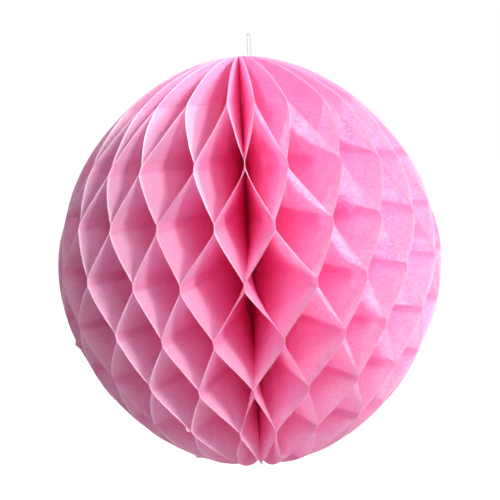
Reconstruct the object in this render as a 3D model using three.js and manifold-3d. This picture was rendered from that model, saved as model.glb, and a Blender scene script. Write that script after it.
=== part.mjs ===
// Honeycomb tissue ball on a loop of thread. Millimetres, +Z up, seen from the front along +Y.
//
// Half-round tissue leaves stand round an open core like the pages of a book opened right round.
// A leaf is stuck to the leaf before it along every second glue line and to the leaf after it
// along the lines between, so it zigzags from pole to pole and the fan opens into rows of cells.
// Two card covers end the fan and are stuck face to face along the seam at the back. The thread
// passes through a hole near the top of both covers.
// The origin is where a hook bears on the thread, at the inside of the top of the loop.

import * as THREE from "three";
import Module from "manifold-3d";
import { mergeVertices } from "three/addons/utils/BufferGeometryUtils.js";

const { degToRad } = THREE.MathUtils;
const wasm = await Module();
wasm.setup();

// The ball's outline
const ballHeight = 250; // from pole to pole
const ballWidth = 232; // across the equator
const outlineFullness = 1.86; // exponent of the rim's curve, where 2 is an ellipse

// The honeycomb
const cellColumns = 22; // cells round the ball, each between two leaves
const gluePitch = 29; // from one glue line to the next
const glueBand = 5; // height of a glue line
const glueOffset = -7.4; // middle of the glue lines, above the middle of the ball
const seamCells = 9; // cells from the front of the ball round to the seam

// How unevenly the cells open: a wave round the ball that turns over between waist and poles
const swayAngle = degToRad(2.2);
const swayBias = degToRad(-0.4);
const swayWaves = 6.7; // waves in one turn
const swayStart = degToRad(-31);
const swayHeight = 96; // down the ball, from one turn-over to the next
const seamGrip = 24; // the higher, the less of the ball the flat covers hold straight

// Sheets and the films of paste between them
const tissueThickness = 0.2;
const cardThickness = 0.4;
const glueGap = 0.3;
const leafTip = 1.5; // width of a leaf at the poles
const leafColumns = 2; // facets from the core to the rim
const rimFacet = degToRad(14); // round the rim, past the last glue line
const cardInset = 1; // from the tissue's rim to the card's
const cardSpine = 1; // from the axis to the card's straight edge
const cardFacets = 22; // round the card's rim

// The thread
const threadDiameter = 0.5;
const knotDiameter = 0.95;
const knotHeight = 1.5;
const threadClearance = 0.25;
const holeDepth = 9; // below the pole
const loopRise = 13; // from the pole to the inside of the top of the loop
const threadSides = 8;
const threadSteps = 36;
const bendFacet = degToRad(45); // between the points of the route's round bends

// What follows from those sizes
const leafCount = 2 * cellColumns;
const leafStep = (2 * Math.PI) / leafCount;
const leastOpening = 2 * (leafStep - swayAngle - Math.abs(swayBias));
const coreRadius = (2 * tissueThickness + 2 * glueGap) / leastOpening;
const pasteHalf = (glueGap + tissueThickness) / 2; // from a glue line's middle to a leaf's
const cardFace = glueGap / 2 + cardThickness; // from the seam's middle to a cover's outside
const seamHalf = cardFace + glueGap / 2;
const seamAngle = 2 * seamCells * leafStep;

const legSide = cardFace + threadClearance + threadDiameter / 2;
const knotSide = cardFace + threadClearance + knotDiameter / 2;
const seamRoom = knotSide + knotDiameter / 2 + threadClearance + tissueThickness / 2;
const leafLag = seamHalf * (1 - 2 / leafCount) - pasteHalf;
// The hole is as near to the axis as the open cell at the seam has room for the knot.
const holeReach = (seamRoom - leafLag * Math.cos(leafStep)) / Math.sin(leafStep);
const holeHeight = ballHeight / 2 - holeDepth;

const tissue = new THREE.MeshStandardMaterial({ color: 0xf48fbe, roughness: 0.9, metalness: 0 });
const card = new THREE.MeshStandardMaterial({ color: 0xd8d2cc, roughness: 0.85, metalness: 0 });
const thread = new THREE.MeshStandardMaterial({ color: 0xf4f4f0, roughness: 0.8, metalness: 0 });

// The rim of a half-round sheet, as a radius at a height and as a height at a radius.
function rimAt(along, alongHalf, acrossHalf) {
  const left = 1 - Math.pow(Math.min(Math.abs(along) / alongHalf, 1), outlineFullness);
  return acrossHalf * Math.pow(left, 1 / outlineFullness);
}
const rimRadius = (height) => rimAt(height, ballHeight / 2, ballWidth / 2);
const rimHeight = (radius) => rimAt(radius, ballWidth / 2, ballHeight / 2);

// The same rim by an angle up from the equator, so that facets come evenly round the pole.
const rimAngle = (height) =>
  Math.asin(Math.pow((2 * Math.abs(height)) / ballHeight, outlineFullness / 2));
const heightAtAngle = (angle) =>
  (ballHeight / 2) * Math.pow(Math.sin(angle), 2 / outlineFullness);

// Heights of the glue lines, from the top down.
const leafEnd = rimHeight(coreRadius + leafTip);
const glueLines = [];
const topLine = Math.floor((leafEnd - glueBand - glueOffset) / gluePitch - 0.5);
for (let n = topLine; glueOffset + (n + 0.5) * gluePitch > glueBand - leafEnd; n--) {
  glueLines.push(glueOffset + (n + 0.5) * gluePitch);
}

// Joint j lies between leaf j and leaf j + 1, counted round from the seam. Its angle is 0 at the front.
function jointAngle(j, height) {
  const angle = seamAngle - 2 * Math.PI + j * leafStep;
  const wave = Math.cos((Math.PI * (height - glueOffset)) / swayHeight);
  const freedom = 1 - Math.pow(Math.abs(Math.cos((j * leafStep) / 2)), seamGrip);
  const sway = swayAngle * wave + swayBias;
  return angle + freedom * sway * Math.sin(swayWaves * angle + swayStart);
}

// The covers take up the middle of the seam, so the joints next to it stand off the axis.
const jointShift = (j) => seamHalf * (1 - (2 * j) / leafCount);

// Where leaf i is held at a glue line: its angle, and its distance off that plane through the axis.
function hold(i, line, edge) {
  const height = glueLines[line];
  const stuckToNext = (i + 1 + line) % 2 === 1;
  const j = stuckToNext ? i + 1 : i;
  return {
    height: height + (edge * glueBand) / 2,
    angle: jointAngle(j, height),
    shift: jointShift(j) + (stuckToNext ? -pasteHalf : pasteHalf),
  };
}

// Heights round the rim from the last glue line to the pole, pole last.
function poleHeights(from) {
  const start = rimAngle(from);
  const end = rimAngle(leafEnd);
  const steps = Math.ceil((end - start) / rimFacet);
  const heights = [];
  for (let s = 1; s <= steps; s++) {
    heights.push(Math.sign(from) * heightAtAngle(start + ((end - start) * s) / steps));
  }
  return heights;
}

// The levels of leaf i from the top down. Past the last glue line it runs straight on to the pole.
function leafLevels(i) {
  const held = glueLines.flatMap((_, line) => [hold(i, line, 1), hold(i, line, -1)]);
  const first = held[0];
  const last = held[held.length - 1];
  const top = poleHeights(first.height).map((height) => ({ ...first, height }));
  const bottom = poleHeights(last.height).map((height) => ({ ...last, height }));
  return [...top.reverse(), ...held, ...bottom];
}

// A leaf as a thin closed sheet: a grid of points from core to rim on each face, and its edges.
function leafGeometry(i) {
  const levels = leafLevels(i);
  const points = [];
  for (const { height, angle, shift } of levels) {
    const out = new THREE.Vector3(Math.sin(angle), -Math.cos(angle), 0);
    const across = new THREE.Vector3(Math.cos(angle), Math.sin(angle), 0);
    const rim = rimRadius(height);
    for (const face of [-0.5, 0.5]) {
      for (let c = 0; c <= leafColumns; c++) {
        const radius = coreRadius + ((rim - coreRadius) * c) / leafColumns;
        const point = new THREE.Vector3(0, 0, height).addScaledVector(out, radius);
        points.push(point.addScaledVector(across, shift + face * tissueThickness));
      }
    }
  }
  const columns = leafColumns + 1;
  const at = (level, face, column) => (2 * level + face) * columns + column;
  const index = [];
  const quad = (a, b, c, d) => index.push(a, b, c, a, c, d);
  const bottom = levels.length - 1;
  for (let k = 0; k < bottom; k++) {
    for (let c = 0; c < leafColumns; c++) {
      quad(at(k, 1, c), at(k, 1, c + 1), at(k + 1, 1, c + 1), at(k + 1, 1, c));
      quad(at(k, 0, c), at(k + 1, 0, c), at(k + 1, 0, c + 1), at(k, 0, c + 1));
    }
    const rim = leafColumns;
    quad(at(k, 0, rim), at(k + 1, 0, rim), at(k + 1, 1, rim), at(k, 1, rim));
    quad(at(k, 1, 0), at(k + 1, 1, 0), at(k + 1, 0, 0), at(k, 0, 0));
  }
  for (let c = 0; c < leafColumns; c++) {
    quad(at(0, 0, c), at(0, 0, c + 1), at(0, 1, c + 1), at(0, 1, c));
    quad(at(bottom, 1, c), at(bottom, 1, c + 1), at(bottom, 0, c + 1), at(bottom, 0, c));
  }
  const geometry = new THREE.BufferGeometry().setFromPoints(points);
  geometry.setIndex(index);
  geometry.computeVertexNormals();
  return geometry;
}

// A cover: half round like the leaves and a little smaller, with the thread's hole near its top.
function coverGeometry() {
  const half = ballHeight / 2 - cardInset;
  const outline = [new THREE.Vector2(cardSpine, -half)];
  for (let f = 1; f < cardFacets; f++) {
    const turn = Math.PI * (f / cardFacets - 0.5);
    const height = Math.sign(turn) * half * Math.pow(Math.abs(Math.sin(turn)), 2 / outlineFullness);
    outline.push(new THREE.Vector2(rimAt(height, half, ballWidth / 2 - cardInset), height));
  }
  outline.push(new THREE.Vector2(cardSpine, half));
  const shape = new THREE.Shape(outline);
  const hole = new THREE.Path();
  hole.absarc(holeReach, holeHeight, threadDiameter / 2 + threadClearance, 0, 2 * Math.PI, true);
  shape.holes.push(hole);
  return new THREE.ExtrudeGeometry(shape, {
    depth: cardThickness,
    bevelEnabled: false,
    curveSegments: threadSides,
  });
}

function solidOf(geometry) {
  const bare = geometry.clone().deleteAttribute("normal").deleteAttribute("uv");
  const merged = mergeVertices(bare);
  return new wasm.Manifold(
    new wasm.Mesh({
      numProp: 3,
      vertProperties: merged.attributes.position.array,
      triVerts: new Uint32Array(merged.index.array),
    }),
  );
}

function joined(a, b) {
  const mesh = solidOf(a).add(solidOf(b)).getMesh();
  const geometry = new THREE.BufferGeometry();
  geometry.setAttribute("position", new THREE.BufferAttribute(mesh.vertProperties, 3));
  geometry.setIndex(new THREE.BufferAttribute(mesh.triVerts, 1));
  geometry.computeVertexNormals();
  return geometry;
}

// The loop: from the knot down round the bottom of the hole, up the other side, over the top and back.
function threadGeometry() {
  const knotAt = ballHeight / 2 - holeDepth / 2;
  const knotTail = knotHeight / 4;
  const route = [[knotSide, knotAt - knotTail]];
  const bend = (middle, from, turn) => {
    for (let a = 0; a < Math.PI + bendFacet / 2; a += bendFacet) {
      const angle = from + turn * a;
      route.push([legSide * Math.cos(angle), middle + legSide * Math.sin(angle)]);
    }
  };
  const loopTop = ballHeight / 2 + loopRise + threadDiameter / 2;
  bend(holeHeight + legSide, 0, -1);
  bend(loopTop - legSide, Math.PI, -1);
  route.push([knotSide, knotAt + knotTail]);
  const points = route.map(([side, height]) => new THREE.Vector3(holeReach, height, side));

  const section = new THREE.Shape();
  for (let s = 0; s < threadSides; s++) {
    const angle = (2 * Math.PI * s) / threadSides;
    const corner = [Math.cos(angle), Math.sin(angle)].map((v) => (v * threadDiameter) / 2);
    if (s === 0) section.moveTo(...corner);
    else section.lineTo(...corner);
  }
  const tube = new THREE.ExtrudeGeometry(section, {
    steps: threadSteps,
    bevelEnabled: false,
    extrudePath: new THREE.CatmullRomCurve3(points),
  });
  const knot = new THREE.SphereGeometry(1, threadSides, threadSides - 2);
  knot.scale(knotDiameter / 2, knotHeight / 2, knotDiameter / 2);
  knot.translate(holeReach, knotAt, knotSide);
  return joined(tube, knot);
}

function named(name, geometry, material) {
  const mesh = new THREE.Mesh(geometry, material);
  mesh.name = name;
  return mesh;
}

// The seam's own frame: x out from the axis, y up, z towards the last leaf.
function makeSeam() {
  const seam = new THREE.Group();
  const out = new THREE.Vector3(Math.sin(seamAngle), -Math.cos(seamAngle), 0);
  const up = new THREE.Vector3(0, 0, 1);
  const side = new THREE.Vector3().crossVectors(out, up);
  seam.quaternion.setFromRotationMatrix(new THREE.Matrix4().makeBasis(out, up, side));
  const firstCover = named("first_cover", coverGeometry(), card);
  firstCover.position.z = -cardFace;
  const lastCover = named("last_cover", coverGeometry(), card);
  lastCover.position.z = glueGap / 2;
  seam.add(firstCover, lastCover, named("hanging_thread", threadGeometry(), thread));
  return seam;
}

const ball = new THREE.Group();
for (let i = 0; i < leafCount; i++) {
  const number = String(i + 1).padStart(2, "0");
  ball.add(named(`leaf_${number}`, leafGeometry(i), tissue));
}
ball.add(makeSeam());
ball.position.set(
  -holeReach * Math.sin(seamAngle),
  holeReach * Math.cos(seamAngle),
  -(ballHeight / 2 + loopRise),
);

const hangingBall = new THREE.Group();
hangingBall.add(ball);

export default hangingBall;
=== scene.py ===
# %% [markdown]
# # Honeycomb paper ball
#
# The ball is a fan of half-round tissue leaves, opened right round until its two card covers meet.
# Each leaf is stuck to one neighbour or the other at every glue line, so it zigzags from pole to
# pole, and the gaps between the leaves open into rows of cells.
#
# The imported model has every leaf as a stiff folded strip. This lesson turns each strip into thin
# tissue with soft creases, ripples, a cut edge and light shining through it, twists the hanging
# loop out of three strands, and sets the ball up in the light of two windows.

import math

import bpy
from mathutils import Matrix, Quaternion, Vector


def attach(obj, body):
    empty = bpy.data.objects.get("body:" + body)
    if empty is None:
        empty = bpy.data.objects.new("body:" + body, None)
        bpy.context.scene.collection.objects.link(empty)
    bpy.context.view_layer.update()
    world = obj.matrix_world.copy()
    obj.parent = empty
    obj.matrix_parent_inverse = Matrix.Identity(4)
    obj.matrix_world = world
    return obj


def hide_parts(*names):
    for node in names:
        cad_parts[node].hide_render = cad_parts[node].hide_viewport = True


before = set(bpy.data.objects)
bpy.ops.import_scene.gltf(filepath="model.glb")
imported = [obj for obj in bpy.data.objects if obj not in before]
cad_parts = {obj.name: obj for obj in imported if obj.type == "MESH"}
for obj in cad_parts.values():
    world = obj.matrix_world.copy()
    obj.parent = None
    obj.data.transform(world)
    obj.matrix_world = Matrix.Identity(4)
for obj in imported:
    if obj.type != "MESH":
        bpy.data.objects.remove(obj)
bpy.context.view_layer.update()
print("nodes in the packed model:", len(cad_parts))

# %% [markdown]
# ## The sizes that every step needs
#
# All lengths are metres. The solids were built from the same numbers, so a leaf made from them
# lies where its solid lies. The origin is the inside of the top of the loop, where a hook bears,
# and the ball hangs below it, a little off its axis because the loop's hole is beside the axis.

# %% Sizes
HALF_HEIGHT = 0.125
HALF_WIDTH = 0.116
LEAF_COUNT = 44
LEAF_STEP = 2 * math.pi / LEAF_COUNT
SEAM_ANGLE = 18 * LEAF_STEP
HOLE_REACH = 0.0118475
LOOP_RISE = 0.013

SEAM_OUT = Vector((math.sin(SEAM_ANGLE), -math.cos(SEAM_ANGLE), 0))
BALL_MIDDLE = Vector((0, 0, -HALF_HEIGHT - LOOP_RISE)) - HOLE_REACH * SEAM_OUT
print("middle of the ball:", [round(v, 4) for v in BALL_MIDDLE])

# %% [markdown]
# ## The camera
#
# The camera stands a little above the ball's waist, so that the rows of cells bow downwards at the
# front. The ball hangs slightly askew on its loop. Its axis is kept upright here, so that the part
# is easy to use, and the camera is rolled by the same few degrees instead.

# %% Camera
CAMERA_DISTANCE = 0.625
CAMERA_TURN = math.radians(0.88)
CAMERA_LIFT = math.radians(9.54)
CAMERA_ROLL = math.radians(-3.15)
CAMERA_LENS = 73.2
AIM_OFFSET = Vector((0.0004, 0, 0.0079))


def place_camera():
    back = Vector((
        math.sin(CAMERA_TURN) * math.cos(CAMERA_LIFT),
        -math.cos(CAMERA_TURN) * math.cos(CAMERA_LIFT),
        math.sin(CAMERA_LIFT),
    ))
    data = bpy.data.cameras.new("camera")
    data.lens = CAMERA_LENS
    camera = bpy.data.objects.new("camera", data)
    bpy.context.collection.objects.link(camera)
    camera.location = BALL_MIDDLE + CAMERA_DISTANCE * back
    sight = camera.location - BALL_MIDDLE - AIM_OFFSET
    camera.rotation_mode = "QUATERNION"
    camera.rotation_quaternion = sight.to_track_quat("Z", "Y") @ Quaternion((0, 0, 1), CAMERA_ROLL)
    bpy.context.scene.camera = camera
    return camera


print("camera at", [round(v, 3) for v in place_camera().location])

# %% [markdown]
# ## Writing node trees as sums
#
# Both the shapes and the finishes are node trees. Wiring them by hand is long, so a Wire stands
# for an output socket and understands plus, minus, times and so on: each sum adds a Math node. A
# Board is a node tree with one method that adds a node of any type, first its settings, then the
# values or links of its sockets.

# %% Wires and boards
class Wire:
    def __init__(self, board, socket):
        self.board = board
        self.socket = socket

    def math(self, operation, *others):
        return self.board.math(operation, self, *others)

    def __add__(self, other):
        return self.math("ADD", other)

    def __radd__(self, other):
        return self.board.math("ADD", other, self)

    def __sub__(self, other):
        return self.math("SUBTRACT", other)

    def __rsub__(self, other):
        return self.board.math("SUBTRACT", other, self)

    def __mul__(self, other):
        return self.math("MULTIPLY", other)

    def __rmul__(self, other):
        return self.board.math("MULTIPLY", other, self)

    def __truediv__(self, other):
        return self.math("DIVIDE", other)

    def __rtruediv__(self, other):
        return self.board.math("DIVIDE", other, self)

    def __pow__(self, other):
        return self.math("POWER", other)

    def __mod__(self, other):
        return self.math("FLOORED_MODULO", other)

    def __abs__(self):
        return self.math("ABSOLUTE")

    def within(self, low, high):
        return self.math("MAXIMUM", low).math("MINIMUM", high)

    def ramp(self, low, high):
        """0 below low, 1 above high, and a smooth rise between them."""
        inputs = {"Value": self, "From Min": low, "From Max": high}
        return self.board.wire("ShaderNodeMapRange", {"interpolation_type": "SMOOTHSTEP"}, inputs)


class Board:
    def __init__(self, tree):
        self.tree = tree

    def node(self, kind, settings=None, inputs=None):
        made = self.tree.nodes.new(kind)
        for name, value in (settings or {}).items():
            setattr(made, name, value)
        for slot, value in (inputs or {}).items():
            self.feed(made.inputs[slot], value)
        return made

    def feed(self, socket, value):
        if isinstance(value, Wire):
            self.tree.links.new(value.socket, socket)
        else:
            socket.default_value = value

    def wire(self, kind, settings=None, inputs=None, output=0):
        return Wire(self, self.node(kind, settings, inputs).outputs[output])

    def math(self, operation, *values):
        return self.wire("ShaderNodeMath", {"operation": operation}, dict(enumerate(values)))

    def vector(self, x, y, z):
        return self.wire("ShaderNodeCombineXYZ", None, {0: x, 1: y, 2: z})

    def parts(self, vector):
        node = self.node("ShaderNodeSeparateXYZ", None, {0: vector})
        return [Wire(self, socket) for socket in node.outputs]

    def noise(self, place, scale, detail=2.0, roughness=0.5):
        inputs = {"Vector": place, "Scale": scale, "Detail": detail, "Roughness": roughness}
        return self.wire("ShaderNodeTexNoise", {"normalize": True}, inputs)

    def blend(self, share, first, second):
        """Mixes two colours, by a share of the second."""
        inputs = {0: share, 6: first, 7: second}
        return self.wire("ShaderNodeMix", {"data_type": "RGBA"}, inputs, 2)

    def share(self, part, first, second):
        """Mixes two shaders, by a part of the second."""
        return self.wire("ShaderNodeMixShader", None, {0: part, 1: first, 2: second})


print("node helpers ready")

# %% [markdown]
# ## Trees that make shapes
#
# A Geometry Nodes tree has named inputs for its sizes, which the modifier finds by their
# identifiers. Its surface is shaded smooth, apart from edges that bend sharply, such as a sheet's
# cut edge, which would shine oddly if they were rounded off. The result is turned into a plain mesh
# at once, so nothing live is left on a piece.

# %% Geometry trees
SHARP_BEND = math.radians(60)
SOCKET_KINDS = {float: "NodeSocketFloat", int: "NodeSocketInt", None: "NodeSocketGeometry"}


class ShapeTree(Board):
    def __init__(self, name, sizes, results=("Shape",), takes_shape=False):
        super().__init__(bpy.data.node_groups.new(name, "GeometryNodeTree"))
        face = self.tree.interface
        if takes_shape:
            face.new_socket("Shape", in_out="INPUT", socket_type=SOCKET_KINDS[None])
        for label, value in sizes.items():
            socket = face.new_socket(label, in_out="INPUT", socket_type=SOCKET_KINDS[type(value)])
            socket.default_value = value
        for label in results:
            kind = None if label == "Shape" else float
            face.new_socket(label, in_out="OUTPUT", socket_type=SOCKET_KINDS[kind])
        entry = self.tree.nodes.new("NodeGroupInput")
        self.given = {socket.name: Wire(self, socket) for socket in entry.outputs if socket.name}
        self.exit = self.tree.nodes.new("NodeGroupOutput")

    def give(self, **results):
        for label, value in results.items():
            self.feed(self.exit.inputs[label], value)

    def give_shape(self, shape, finish):
        real = self.wire("GeometryNodeRealizeInstances", None, {"Geometry": shape})
        smooth = self.wire("GeometryNodeSetShadeSmooth", None, {"Geometry": real})
        bend = self.wire("GeometryNodeInputMeshEdgeAngle")
        inputs = {
            "Geometry": smooth,
            "Selection": bend.math("GREATER_THAN", SHARP_BEND),
            "Shade Smooth": False,
        }
        crisp = self.wire("GeometryNodeSetShadeSmooth", {"domain": "EDGE"}, inputs)
        inputs = {"Geometry": crisp, "Material": finish}
        self.give(Shape=self.wire("GeometryNodeSetMaterial", None, inputs))


def make_piece(name, shape_tree, sizes, start, finish):
    """Runs a tree on start, a mesh or a curve, and keeps what it makes as a plain mesh."""
    host = bpy.data.objects.new(name + "_host", start)
    bpy.context.collection.objects.link(host)
    modifier = host.modifiers.new("shape", "NODES")
    modifier.node_group = shape_tree.tree
    for socket in shape_tree.tree.interface.items_tree:
        if socket.in_out == "INPUT" and socket.name in sizes:
            modifier[socket.identifier] = sizes[socket.name]
    host.update_tag()
    seen = host.evaluated_get(bpy.context.evaluated_depsgraph_get())
    mesh = bpy.data.meshes.new_from_object(seen)
    bpy.data.objects.remove(host)
    mesh.name = name
    if not mesh.materials:
        mesh.materials.append(finish)
    piece = bpy.data.objects.new(name, mesh)
    bpy.context.collection.objects.link(piece)
    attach(piece, "root")
    return piece


print("shape trees ready")

# %% [markdown]
# ## White cotton thread
#
# Sewing thread is matt and slightly fuzzy, and a touch darker down between its strands. The strands
# themselves are shaped, so the finish adds only the loose fibres, as a fine bump and a faint change
# of tone. The white of the cotton is painted down to a mid grey, which is painted shade: it stands
# for the shading that lets a white thread show against a white backdrop.

# %% Thread finish
# Both thread colours are painted shade: white cotton painted down to grey, so the loop shows against
# white.
THREAD_PAINTED_SHADE_DARK = (0.46, 0.46, 0.44, 1)
THREAD_PAINTED_SHADE_LIGHT = (0.70, 0.70, 0.67, 1)
THREAD_FIBRE = 9000.0
THREAD_FUZZ = 0.00004


def new_finish(name):
    finish = bpy.data.materials.new(name)
    finish.use_nodes = True
    finish.node_tree.nodes.clear()
    return finish, Board(finish.node_tree)


def end_finish(board, shader):
    board.node("ShaderNodeOutputMaterial", None, {"Surface": shader})


def bumped(board, height, depth, strength=1.0):
    inputs = {"Height": height, "Distance": depth, "Strength": strength}
    return board.wire("ShaderNodeBump", None, inputs)


def object_place(board):
    return board.wire("ShaderNodeTexCoord", None, None, 3)


def make_thread_finish():
    finish, board = new_finish("white_cotton_thread")
    fibres = board.noise(object_place(board), THREAD_FIBRE, 4.0, 0.6)
    inputs = {
        # This grey is painted shade; the fibre noise only varies it at random.
        "Base Color": board.blend(fibres, THREAD_PAINTED_SHADE_DARK, THREAD_PAINTED_SHADE_LIGHT),
        "Roughness": 0.75 + fibres * 0.2,
        "Normal": bumped(board, fibres, THREAD_FUZZ),
        "Specular IOR Level": 0.25,
        "Sheen Weight": 0.2,
    }
    end_finish(board, board.wire("ShaderNodeBsdfPrincipled", None, inputs))
    return finish


THREAD_FINISH = make_thread_finish()
print("finish:", THREAD_FINISH.name)

# %% [markdown]
# ## The hanging loop
#
# The loop is one length of thread. It starts at the knot, goes down and round through the hole in
# the covers, up the other side, over the top and back to the knot. It is a sweep of a three-lobed
# section that turns as it goes, which looks like three strands twisted together.

# %% Route of the thread
THREAD_DIAMETER = 0.0005
LEG_SIDE = 0.00105
KNOT_SIDE = 0.001275
KNOT_HEIGHT = -0.0175
KNOT_TAIL = 0.000375
HOLE_BEND = -0.02095
TOP_BEND = THREAD_DIAMETER / 2 - LEG_SIDE
BEND_STEPS = 10
LEG_STEPS = 8

SEAM_SIDE = SEAM_OUT.cross(Vector((0, 0, 1)))


def bend_round(height, start, turn):
    angles = [start + turn * math.pi * step / BEND_STEPS for step in range(BEND_STEPS + 1)]
    return [(LEG_SIDE * math.cos(a), height + LEG_SIDE * math.sin(a)) for a in angles]


def straight(first, last):
    shares = [step / LEG_STEPS for step in range(1, LEG_STEPS)]
    return [tuple(a + (b - a) * share for a, b in zip(first, last)) for share in shares]


def thread_route():
    start = [(KNOT_SIDE, KNOT_HEIGHT - KNOT_TAIL)]
    low = bend_round(HOLE_BEND, 0, -1)
    high = bend_round(TOP_BEND, math.pi, -1)
    end = [(KNOT_SIDE, KNOT_HEIGHT + KNOT_TAIL)]
    flat = start + low + straight(low[-1], high[0]) + high + straight(high[-1], end[0]) + end
    return [side * SEAM_SIDE + Vector((0, 0, height)) for side, height in flat]


ROUTE = thread_route()
THREAD_LENGTH = sum((b - a).length for a, b in zip(ROUTE, ROUTE[1:]))
print("thread length in mm:", round(1000 * THREAD_LENGTH, 1))

# %% Twisted thread
THREAD_SIZES = {
    "Diameter": THREAD_DIAMETER,
    "Strands": 3,
    "Strand Depth": 0.16,
    "Twist Length": 0.0026,
    "Rings": 260,
    "Sides": 24,
}


def poly_curve(name, points):
    curve = bpy.data.curves.new(name, "CURVE")
    curve.dimensions = "3D"
    spline = curve.splines.new("POLY")
    spline.points.add(len(points) - 1)
    for point, place in zip(spline.points, points):
        point.co = (*place, 1)
    return curve


def thread_tree():
    board = ShapeTree("Twisted thread", THREAD_SIZES, takes_shape=True)
    given = board.given
    inputs = {"Curve": given["Shape"], "Count": given["Rings"]}
    even = board.wire("GeometryNodeResampleCurve", None, inputs)
    along = board.wire("GeometryNodeSplineParameter", None, None, 1)
    inputs = {"Curve": even, "Tilt": along * math.tau / given["Twist Length"]}
    turned = board.wire("GeometryNodeSetCurveTilt", None, inputs)

    inputs = {"Resolution": given["Sides"], "Radius": 1.0}
    ring = board.wire("GeometryNodeCurvePrimitiveCircle", None, inputs)
    x, y, _ = board.parts(board.wire("GeometryNodeInputPosition"))
    round_ring = board.math("ARCTAN2", y, x)
    lobe = board.math("COSINE", round_ring * given["Strands"])
    radius = given["Diameter"] / 2 * (1 - given["Strand Depth"] * (1 - lobe) / 2)
    inputs = {"Geometry": ring, "Position": board.vector(x * radius, y * radius, 0.0)}
    section = board.wire("GeometryNodeSetPosition", None, inputs)

    inputs = {"Curve": turned, "Profile Curve": section, "Fill Caps": True}
    board.give_shape(board.wire("GeometryNodeCurveToMesh", None, inputs), THREAD_FINISH)
    return board


loop_curve = poly_curve("loop_route", ROUTE)
hanging_loop = make_piece(
    "hanging_loop", thread_tree(), THREAD_SIZES, loop_curve, THREAD_FINISH
)
print("loop faces:", len(hanging_loop.data.polygons))

# %% [markdown]
# ## The knot
#
# Both ends of the thread meet in one small knot beside the covers. At this size a knot reads as a
# few tight turns round the two ends, so it is a short spiral of the same thread.

# %% Knot
KNOT_SIZES = {
    "Turns": 3.5,
    "Coil Radius": 0.00026,
    "Coil Height": 0.0011,
    "Thread Radius": 0.0002,
    "End Narrowing": 0.45,
    "Steps": 30,
    "Sides": 10,
}


def knot_tree():
    board = ShapeTree("Knot", KNOT_SIZES)
    given = board.given
    inputs = {
        "Resolution": given["Steps"],
        "Rotations": given["Turns"],
        "Start Radius": given["Coil Radius"],
        "End Radius": given["Coil Radius"],
        "Height": given["Coil Height"],
    }
    coil = board.wire("GeometryNodeCurveSpiral", None, inputs)
    x, y, z = board.parts(board.wire("GeometryNodeInputPosition"))
    swell = 1 - given["End Narrowing"] * (2 * z / given["Coil Height"] - 1) ** 2.0
    middle = KNOT_SIDE * SEAM_SIDE + Vector((0, 0, KNOT_HEIGHT))
    place = board.vector(
        x * swell + middle.x, y * swell + middle.y, z - given["Coil Height"] / 2 + middle.z
    )
    coil = board.wire("GeometryNodeSetPosition", None, {"Geometry": coil, "Position": place})
    inputs = {"Resolution": given["Sides"], "Radius": given["Thread Radius"]}
    ring = board.wire("GeometryNodeCurvePrimitiveCircle", None, inputs)
    inputs = {"Curve": coil, "Profile Curve": ring, "Fill Caps": True}
    board.give_shape(board.wire("GeometryNodeCurveToMesh", None, inputs), THREAD_FINISH)
    return board


thread_knot = make_piece(
    "thread_knot", knot_tree(), KNOT_SIZES, bpy.data.meshes.new("knot_start"), THREAD_FINISH
)
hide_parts("hanging_thread")
tuple(ROUTE[0])
[tuple(point) for point in ROUTE]
print("knot faces:", len(thread_knot.data.polygons))

# %% [markdown]
# ## Pink tissue paper
#
# Tissue is a thin, cloudy felt of fibres. Rather less than half of the light that falls on it comes
# back and the rest goes through, so a lit leaf glows on its far side, and light that has been
# through several leaves turns from pink to crimson. A Principled shader gives the part that comes
# back. Two Translucent shaders give the part that goes through, one for thick felt and a paler one
# for thin felt. Each has one colour, and what changes over the sheet is how they are mixed.
#
# The clouds, the fibres and the small dyed flecks are three sizes of noise. The paste that has
# soaked into the glue lines makes the sheet a deeper pink and clearer. A band along the cut edge is
# paler and lets less light through: partly the fluffy cut edge, partly a painted highlight where
# light catches the rim. They are drawn from numbers that each leaf keeps for its surface: how far a
# point is from the axis, how high it is, how far it is from the cut edge and how much paste is there.

# %% Tissue finish
TISSUE_PINK = (0.997, 0.640, 0.832, 1)
TISSUE_THIN = (0.998, 0.700, 0.868, 1)
TISSUE_FLECK = (0.990, 0.520, 0.780, 1)
TISSUE_PASTED = (0.994, 0.600, 0.800, 1)
# The edge colour is partly the paler fluff of the cut edge and partly a painted highlight where light
# catches the rim.
TISSUE_EDGE_FLUFF_AND_HIGHLIGHT = (0.998, 0.940, 0.975, 1)
THIN_GLOW = (0.999, 0.880, 0.960, 1)
THICK_GLOW = (0.998, 0.640, 0.870, 1)
CLOUD_SCALE = 150.0
FIBRE_SCALE = 700.0
FIBRE_PART = 0.6
THIN_RANGE = (0.36, 0.58)
FLECK_SCALE = 1300.0
FLECK_RANGE = (0.60, 0.68)
FLECK_THICK = 0.9
FLECK_TINT = 0.6
PASTE_TINT = 0.6
PASTE_CLEAR = 0.7
EDGE_FLUFF_AND_HIGHLIGHT_WIDTH = 0.0020
EDGE_TINT = 0.75
EDGE_DULL = 0.7
FIBRE_DEPTH = 0.0002
FIBRE_BUMP = 0.6
THROUGH_SHARE = 0.58
THIN_MORE = 0.26
PASTE_MORE = 0.1
EDGE_LESS = 0.28


def sheet_place(board):
    """A point's place on its leaf laid flat: out from the axis, up, and a jump for each leaf."""
    return board.wire("ShaderNodeAttribute", {"attribute_name": "flat_place"}, None, 1)


def leaf_number(board, name):
    return board.wire("ShaderNodeAttribute", {"attribute_name": name}, None, 2)


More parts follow.
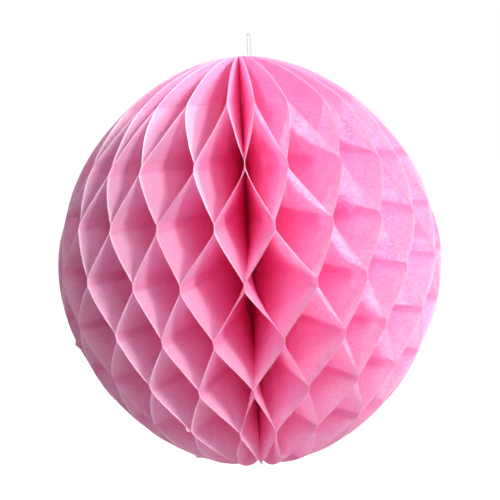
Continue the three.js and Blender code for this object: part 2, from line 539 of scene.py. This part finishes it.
def make_tissue_finish():
    finish, board = new_finish("pink_tissue")
    place = sheet_place(board)
    clouds = board.noise(place, CLOUD_SCALE, 3.0, 0.62)
    fibres = board.noise(place, FIBRE_SCALE, 2.0, 0.6)
    paste = leaf_number(board, "paste")
    # A band along the cut edge, paler and less clear: partly fluff, partly painted highlight on the
    # rim.
    edge = 1 - leaf_number(board, "edge_gap").ramp(0.0, EDGE_FLUFF_AND_HIGHLIGHT_WIDTH)

    flecks = board.noise(place, FLECK_SCALE, 1.0, 0.5).ramp(*FLECK_RANGE)
    felt = clouds * (1 - FIBRE_PART) + fibres * FIBRE_PART
    thin = felt.ramp(*THIN_RANGE) * (1 - flecks * FLECK_THICK)
    colour = board.blend(thin, TISSUE_PINK, TISSUE_THIN)
    colour = board.blend(flecks * FLECK_TINT, colour, TISSUE_FLECK)
    colour = board.blend(paste * PASTE_TINT, colour, TISSUE_PASTED)
    colour = board.blend(edge * EDGE_TINT, colour, TISSUE_EDGE_FLUFF_AND_HIGHLIGHT)

    inputs = {
        "Base Color": colour,
        "Roughness": 0.92 - paste * 0.15,
        "Normal": bumped(board, fibres, FIBRE_DEPTH, FIBRE_BUMP),
        "Specular IOR Level": 0.2,
    }
    sent_back = board.wire("ShaderNodeBsdfPrincipled", None, inputs)
    thick_glow = board.wire("ShaderNodeBsdfTranslucent", None, {"Color": THICK_GLOW})
    thin_glow = board.wire("ShaderNodeBsdfTranslucent", None, {"Color": THIN_GLOW})
    clear = thin.math("MAXIMUM", paste * PASTE_CLEAR) * (1 - edge * EDGE_DULL)
    let_through = board.share(clear, thick_glow, thin_glow)
    # Less light goes through at the edge, so more comes back: part of the same painted rim highlight.
    share = THROUGH_SHARE + (thin - 0.5) * THIN_MORE + paste * PASTE_MORE - edge * EDGE_LESS
    end_finish(board, board.share(share, sent_back, let_through))
    return finish


TISSUE_FINISH = make_tissue_finish()
print("finish:", TISSUE_FINISH.name)

# %% [markdown]
# ## Where a leaf is held
#
# The glue lines are counted from the top. At line 0 a leaf is stuck to one neighbour, at line 1 to
# the other, and so on. This small tree gives the angle round the ball at which a leaf is held at a
# line, and how far it stands off that plane, beside the film of paste or the covers at the seam.
# The cells of a ball opened by hand are never quite even, which the sway adds. At the core, most
# pairs of leaves end close to the axis. A few pairs hang back from it or reach past it, so those
# joints are named one by one, each with its glue line and how far it stands off.

# %% Tree for one glue line
HOLD_SIZES = {
    "Leaf": 0.0,
    "Line": 0.0,
    "Top Line": 0.0941,
    "Glue Pitch": 0.029,
    "Glue Middle": -0.0074,
    "Sway Angle": math.radians(2.2),
    "Sway Bias": math.radians(-0.4),
    "Sway Waves": 6.7,
    "Sway Start": math.radians(-31),
    "Sway Height": 0.096,
    "Seam Grip": 24.0,
    "Seam Half": 0.0007,
    "Paste Half": 0.00008,
    "Core Play": 0.0010,
}
LOOSE_SPOTS = [
    {"joint": 25, "line": 2, "reach": 0.007},
    {"joint": 27, "line": 2, "reach": 0.014},
    {"joint": 28, "line": 3, "reach": 0.024},
    {"joint": 25, "line": 4, "reach": 0.020},
    {"joint": 5, "line": 2, "reach": -0.012},
]


def core_bow(board, joint, line):
    """How far the inner edges of a stuck pair stand off the axis."""
    place = board.vector(joint, line, 0.5)
    bow = board.given["Core Play"] * board.wire("ShaderNodeTexWhiteNoise", None, {"Vector": place})
    for spot in LOOSE_SPOTS:
        same_joint = joint.math("COMPARE", spot["joint"], 0.5)
        bow = bow + spot["reach"] * same_joint * line.math("COMPARE", spot["line"], 0.5)
    return bow


def hold_tree():
    board = ShapeTree("Held leaf", HOLD_SIZES, ("Angle", "Shift", "Side", "Bow"))
    given = board.given
    leaf = given["Leaf"]
    line = given["Line"]
    to_next = 1 - (leaf + line) % 2
    joint = leaf + to_next
    plain = joint * LEAF_STEP + (SEAM_ANGLE - math.tau)
    height = given["Top Line"] - line * given["Glue Pitch"]
    wave = board.math("COSINE", math.pi * (height - given["Glue Middle"]) / given["Sway Height"])
    held = abs(board.math("COSINE", joint * (LEAF_STEP / 2))) ** given["Seam Grip"]
    sway = (1 - held) * (given["Sway Angle"] * wave + given["Sway Bias"])
    phase = given["Sway Waves"] * plain + given["Sway Start"]
    side = 1 - 2 * to_next
    board.give(
        Angle=plain + sway * board.math("SINE", phase),
        Shift=given["Seam Half"] * (1 - joint * (2 / LEAF_COUNT)) + side * given["Paste Half"],
        Side=side,
        Bow=core_bow(board, joint, line),
    )
    return board


HELD_LEAF = hold_tree()
print("nodes for one glue line:", len(HELD_LEAF.tree.nodes))

# %% [markdown]
# ## A leaf
#
# A leaf starts as a flat box one face thick, with many levels from pole to pole and some columns
# from the core to the rim, so it is closed from the start. The tree then moves every point: up the
# ball to its level, out to its column, and round to the angle between the two glue lines around
# it. Levels crowd towards the glue lines, where the paper bends most, and columns towards the rim,
# where it is seen.
#
# The rows of cells sag and spread a little from pole to pole, and bend at the ball's two sides, so
# a point looks for its glue lines at a level that is a few millimetres off its own height. Where
# the sheet is held it stays flat, and in between it ripples. The rim is cut roughly, and a few
# leaves have a torn tuft there.

# %% Tree for one leaf
LEAF_SIZES = {
    "Leaf": 0.0,
    "Levels": 178,
    "Columns": 24,
    "Thickness": 0.0001,
    "Half Height": HALF_HEIGHT,
    "Half Width": HALF_WIDTH,
    "Fullness": 1.86,
    "Core Radius": 0.0011,
    "Pole Width": 0.0012,
    "Top Line": HOLD_SIZES["Top Line"],
    "Glue Pitch": HOLD_SIZES["Glue Pitch"],
    "Glue Band": 0.0044,
    "Lines": 8,
    "End Slip": 0.0036,
    "Row Bend": 0.0031,
    "Row Lift": 0.0004,
    "Row Middle": 0.007,
    "Bend Height": 0.058,
    "Row Stretch": 0.026,
    "Row Drop": 0.0007,
    "Row Curve": 0.10,
    "Ease": 0.06,
    "Pole Gape": math.radians(0.7),
    "Ripple": 0.0011,
    "Ripple Length": 0.024,
    "Rag": 0.0005,
    "Rag Waves": 260.0,
    "Least Width": 0.0004,
    "Seed": 4.0,
    "Seed Jump": 7.31,
    "Torn Height": 0.0,
    "Torn Reach": 0.0,
    "Torn Width": 0.0011,
}
LEVEL_EVENNESS = 0.62
LEVEL_CROWDING = 0.5
POLE_EVENNESS = 6.0
COLUMN_CROWDING = 1.6
SLIVER = 0.0001
PASTE_FADE = 0.16


def held_at(board, line):
    node = board.node("GeometryNodeGroup", {"node_tree": HELD_LEAF.tree})
    board.feed(node.inputs["Leaf"], board.given["Leaf"])
    board.feed(node.inputs["Line"], line)
    return [Wire(board, socket) for socket in node.outputs]


def level_height(board, along, end):
    """Height of a level, from along, which runs from -1 at the bottom to 1 at the top."""
    given = board.given
    even = along * LEVEL_EVENNESS
    bowed = board.math("SINE", along * (math.pi / 2)) * (1 - LEVEL_EVENNESS)
    height = (even + bowed) * end
    phase = (height - given["Top Line"]) * math.tau / given["Glue Pitch"]
    crowd = board.math("SINE", phase) * given["Glue Pitch"] * (LEVEL_CROWDING / math.tau)
    return height - crowd * (1 - along ** POLE_EVENNESS)


def rim_radius(board, height):
    given = board.given
    share = abs(height) / given["Half Height"]
    left = (1 - share ** given["Fullness"]).math("MAXIMUM", 0.0)
    return given["Half Width"] * left ** (1 / given["Fullness"])


def leaf_tree():
    board = ShapeTree("Tissue leaf", LEAF_SIZES)
    given = board.given
    inputs = {
        "Size": (1, 1, 1),
        "Vertices X": given["Levels"],
        "Vertices Y": given["Columns"],
        "Vertices Z": 2,
    }
    box = board.wire("GeometryNodeMeshCube", None, inputs)
    x, y, face = board.parts(board.wire("GeometryNodeInputPosition"))
    seed = given["Seed"] + given["Leaf"] * given["Seed Jump"]

    end_share = (given["Core Radius"] + given["Pole Width"]) / given["Half Width"]
    end = given["Half Height"] * (1 - end_share ** given["Fullness"]) ** (1 / given["Fullness"])
    height = level_height(board, 2 * x, end)

    # The level at which this point looks for its glue lines
    leaf_angle = (given["Leaf"] + 0.5) * LEAF_STEP + SEAM_ANGLE
    aside = board.math("SINE", leaf_angle) ** 2.0
    from_middle = height - given["Row Middle"]
    bend = board.math("SINE", from_middle * (math.pi / 2) / given["Bend Height"])
    level = height - aside * (given["Row Lift"] - given["Row Bend"] * bend)
    level = level + given["Row Drop"] - height * (given["Row Stretch"] + given["Row Curve"] * height)

    # The two glue lines around it, and how far it has turned from the upper to the lower one
    steps = (given["Top Line"] - level) / given["Glue Pitch"]
    last = given["Lines"] - 1
    line = steps.within(0.0, last - SLIVER).math("FLOOR")
    band = given["Glue Band"] / given["Glue Pitch"] / 2
    slip = given["End Slip"] / given["Glue Pitch"]
    leaves = band - slip * (1 - line).math("MAXIMUM", 0.0)
    lands = 1 - band + slip * (line - last + 2).math("MAXIMUM", 0.0)
    free = ((steps - line - leaves) / (lands - leaves)).within(0.0, 1.0)
    turn = free + given["Ease"] * (free * free * (3 - 2 * free) - free)
    angle_a, shift_a, side_a, bow_a = held_at(board, line)
    angle_b, shift_b, side_b, bow_b = held_at(board, line + 1)
    angle = angle_a + (angle_b - angle_a) * turn
    shift = shift_a + (shift_b - shift_a) * turn
    side = side_a + (side_b - side_a) * turn

    # Past the first and the last line nothing holds the leaves, and they gape
    past_top = (level - given["Top Line"] - given["Glue Band"] / 2).math("MAXIMUM", 0.0)
    bottom = given["Top Line"] - last * given["Glue Pitch"]
    past_bottom = (bottom - given["Glue Band"] / 2 - level).math("MAXIMUM", 0.0)
    angle = angle + side * given["Pole Gape"] * (past_top + past_bottom) / given["Glue Pitch"]

    # The core, the rim and the column between them
    loose = 4 * free * (1 - free)
    bow = bow_a * (1 - turn) ** 2.0 + bow_b * turn ** 2.0
    core = given["Core Radius"] + bow * (1 - (height / given["Half Height"]) ** 2.0)
    rag_place = board.vector(height * given["Rag Waves"], seed, 0.0)
    rag = (board.noise(rag_place, 1.0, 4.0, 0.7) - 0.5) * 2 * given["Rag"]
    torn_at = (height - given["Torn Height"]) / given["Torn Width"]
    torn = given["Torn Reach"] * board.math("EXPONENT", torn_at * torn_at * -1)
    rim = rim_radius(board, height) + rag + torn
    rim = rim.math("MAXIMUM", core + given["Least Width"])
    share = 1 - (0.5 - y).math("MAXIMUM", 0.0) ** COLUMN_CROWDING
    radius = core + (rim - core) * share

    # Ripples, and the two faces of the sheet
    ripple_place = board.vector(radius, height, seed)
    ripple = board.noise(ripple_place, 1 / given["Ripple Length"], 2.0, 0.5) - 0.5
    shift = shift + ripple * 2 * given["Ripple"] * loose * share * share
    shift = shift + face * given["Thickness"]

    out_x = board.math("SINE", angle)
    out_y = board.math("COSINE", angle)
    place = board.vector(
        radius * out_x + shift * out_y + BALL_MIDDLE.x,
        shift * out_x - radius * out_y + BALL_MIDDLE.y,
        height + BALL_MIDDLE.z,
    )
    numbers = {
        "flat_place": ("FLOAT_VECTOR", board.vector(radius, height, seed)),
        "edge_gap": ("FLOAT", rim - radius),
        "paste": ("FLOAT", 1 - loose.ramp(0.0, PASTE_FADE)),
    }
    shape = box
    for name, (kind, value) in numbers.items():
        inputs = {"Geometry": shape, "Name": name, "Value": value}
        shape = board.wire("GeometryNodeStoreNamedAttribute", {"data_type": kind}, inputs)
    shape = board.wire("GeometryNodeSetPosition", None, {"Geometry": shape, "Position": place})
    board.give_shape(shape, TISSUE_FINISH)
    return board


TISSUE_LEAF = leaf_tree()
print("nodes for one leaf:", len(TISSUE_LEAF.tree.nodes))

# %% Leaves
LEAF_START = bpy.data.meshes.new("leaf_start")
TORN_SPOTS = {
    17: {"Torn Height": -0.036, "Torn Reach": 0.0022},
    20: {"Torn Height": -0.111, "Torn Reach": 0.0024},
    22: {"Torn Height": -0.078, "Torn Reach": 0.0030},
}
leaves = []
for number in range(LEAF_COUNT):
    node = f"leaf_{number + 1:02d}"
    sizes = {"Leaf": float(number)}
    sizes.update(TORN_SPOTS.get(number, {}))
    leaf = make_piece(
        "tissue_" + node, TISSUE_LEAF, sizes, LEAF_START, TISSUE_FINISH
    )
    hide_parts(node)
    leaves.append(leaf)
print("leaves:", len(leaves), "faces each:", len(leaves[0].data.polygons))

# %% [markdown]
# ## Card covers
#
# The covers are pale grey board. They stand face to face between the first and the last leaf, and show
# only in the open cells beside the seam at the back. The solids are right as they are, so they only
# get a finish: pressed grey pulp, cloudy, with dark specks.

# %% Card finish
CARD_DARK = (0.58, 0.54, 0.50, 1)
CARD_PALE = (0.76, 0.72, 0.68, 1)
CARD_SPECK = (0.40, 0.37, 0.34, 1)
PULP_SCALE = 900.0
PULP_DEPTH = 0.00008
SPECK_SCALE = 2600.0


def make_card_finish():
    finish, board = new_finish("grey_board")
    place = object_place(board)
    pulp = board.noise(place, PULP_SCALE, 5.0, 0.65)
    specks = board.noise(place, SPECK_SCALE, 2.0, 0.5)
    colour = board.blend(pulp.ramp(0.3, 0.7), CARD_DARK, CARD_PALE)
    colour = board.blend(specks.ramp(0.62, 0.70) * 0.5, colour, CARD_SPECK)
    inputs = {
        "Base Color": colour,
        "Roughness": 0.85 + pulp * 0.12,
        "Normal": bumped(board, pulp, PULP_DEPTH),
        "Specular IOR Level": 0.25,
    }
    end_finish(board, board.wire("ShaderNodeBsdfPrincipled", None, inputs))
    return finish


CARD_FINISH = make_card_finish()
for node in ("first_cover", "last_cover"):
    card = bpy.data.objects[node]
    card.data.materials.clear()
    card.data.materials.append(CARD_FINISH)
print("finish:", CARD_FINISH.name)

# %% [markdown]
# ## Floor, backdrop and light
#
# The ball hangs in front of plain white, some way above a white floor. Two lamps, like two windows,
# stand on the right. One is beside the ball and high, so it shines through the leaves there. The
# other is nearer the camera and lower, and lights the edges of the cells at the front. Two weak
# fills light the front and the back, and the rest is faint light from a room that is brighter above.
#
# The camera is to see white where there is no ball, without more light falling on the ball. So the
# floor and the room ask of each ray whether it comes straight from the camera, from a gloss or
# through clear glass, and are white only to those. Close under the ball the floor shines less of
# itself, so that the ball's shadow shows there.

# %% Floor and world
BLACK = (0, 0, 0, 1)
WHITE = (1, 1, 1, 1)
FLOOR_PAINT = (0.6, 0.6, 0.6, 1)
FLOOR_DROP = 0.32
FLOOR_HALF = 6.0
FLOOR_NEAR = 0.5
FLOOR_FADE = (0.25, 1.0)
ROOM_BELOW = 0.01
ROOM_ABOVE = 0.16
ROOM_RISE = (-0.2, 0.8)


def seen_straight(board):
    """1 for what the camera, a gloss or clear glass shows, 0 for light that falls on the ball."""
    path = board.node("ShaderNodeLightPath")
    camera_ray, diffuse_ray, glossy_ray, transmission_ray = [
        Wire(board, path.outputs[f"Is {kind} Ray"])
        for kind in ("Camera", "Diffuse", "Glossy", "Transmission")
    ]
    clear_ray = transmission_ray * (1 - diffuse_ray)
    return camera_ray.math("MAXIMUM", glossy_ray).math("MAXIMUM", clear_ray)


def make_floor():
    finish, board = new_finish("white_floor")
    # The floor's own white is only looked at, so no ray seeks it out as it does a lamp.
    finish.cycles.emission_sampling = "NONE"
    x, y, _ = board.parts(object_place(board))
    x = x - BALL_MIDDLE.x
    y = y - BALL_MIDDLE.y
    away = (x * x + y * y) ** 0.5
    glow = FLOOR_NEAR + (1 - FLOOR_NEAR) * away.ramp(*FLOOR_FADE)
    paint = board.wire("ShaderNodeBsdfPrincipled", None, {
        "Base Color": FLOOR_PAINT,
        "Roughness": 0.9,
        "Emission Color": board.blend(seen_straight(board) * glow, BLACK, WHITE),
        "Emission Strength": 1.0,
    })
    end_finish(board, paint)
    z = BALL_MIDDLE.z - HALF_HEIGHT - FLOOR_DROP
    corners = [(-1, -1), (1, -1), (1, 1), (-1, 1)]
    mesh = bpy.data.meshes.new("floor")
    mesh.from_pydata([(FLOOR_HALF * a, FLOOR_HALF * b, z) for a, b in corners], [], [(0, 1, 2, 3)])
    mesh.materials.append(finish)
    floor = bpy.data.objects.new("floor", mesh)
    bpy.context.collection.objects.link(floor)


def make_world():
    world = bpy.data.worlds.new("white_room")
    world.use_nodes = True
    world.node_tree.nodes.clear()
    board = Board(world.node_tree)
    seen = seen_straight(board)
    up = board.parts(board.wire("ShaderNodeTexCoord", None, None, 0))[2]
    light = ROOM_BELOW + (ROOM_ABOVE - ROOM_BELOW) * up.ramp(*ROOM_RISE)
    room = board.wire("ShaderNodeBackground", None, {
        "Color": board.blend(light + (1 - light) * seen, BLACK, WHITE),
        "Strength": 1.0,
    })
    board.node("ShaderNodeOutputWorld", None, {"Surface": room})
    bpy.context.scene.world = world


make_floor()
make_world()
print("floor and room ready")

# %% Lamps
LAMPS = {
    "side_window": {"turn": 93, "lift": 41, "distance": 1.6, "size": 0.3, "power": 26.0},
    "front_window": {"turn": 37, "lift": 26, "distance": 1.6, "size": 0.35, "power": 18.5},
    "front_fill": {"turn": 15, "lift": 45, "distance": 1.6, "size": 0.5, "power": 5.5},
    "back_fill": {"turn": 200, "lift": 30, "distance": 1.6, "size": 0.8, "power": 8.0},
}


def add_lamp(name, turn, lift, distance, size, power):
    """Turn is counted in degrees from the front to the right, lift from level upwards."""
    turn = math.radians(turn)
    lift = math.radians(lift)
    away = Vector((
        math.sin(turn) * math.cos(lift), -math.cos(turn) * math.cos(lift), math.sin(lift)
    ))
    data = bpy.data.lights.new(name, "AREA")
    data.shape = "DISK"
    data.size = size
    data.energy = power
    lamp = bpy.data.objects.new(name, data)
    bpy.context.collection.objects.link(lamp)
    lamp.location = BALL_MIDDLE + distance * away
    lamp.rotation_mode = "QUATERNION"
    lamp.rotation_quaternion = away.to_track_quat("Z", "Y")


for lamp_name, lamp_sizes in LAMPS.items():
    add_lamp(lamp_name, **lamp_sizes)
print("lamps:", list(LAMPS))

# %% [markdown]
# ## Finishing
#
# Standard colour keeps each finish as it was written. Light reaches the deep cells only after it has
# gone through and between many leaves, and red is the colour that lasts longest, so it may bounce
# far more often than usual: with few bounces the core turns from crimson to brown.

# %% Finish
bpy.context.scene.view_settings.view_transform = "Standard"
bpy.context.scene.cycles.max_bounces = 60
bpy.context.scene.cycles.diffuse_bounces = 28
bpy.context.scene.cycles.transmission_bounces = 46
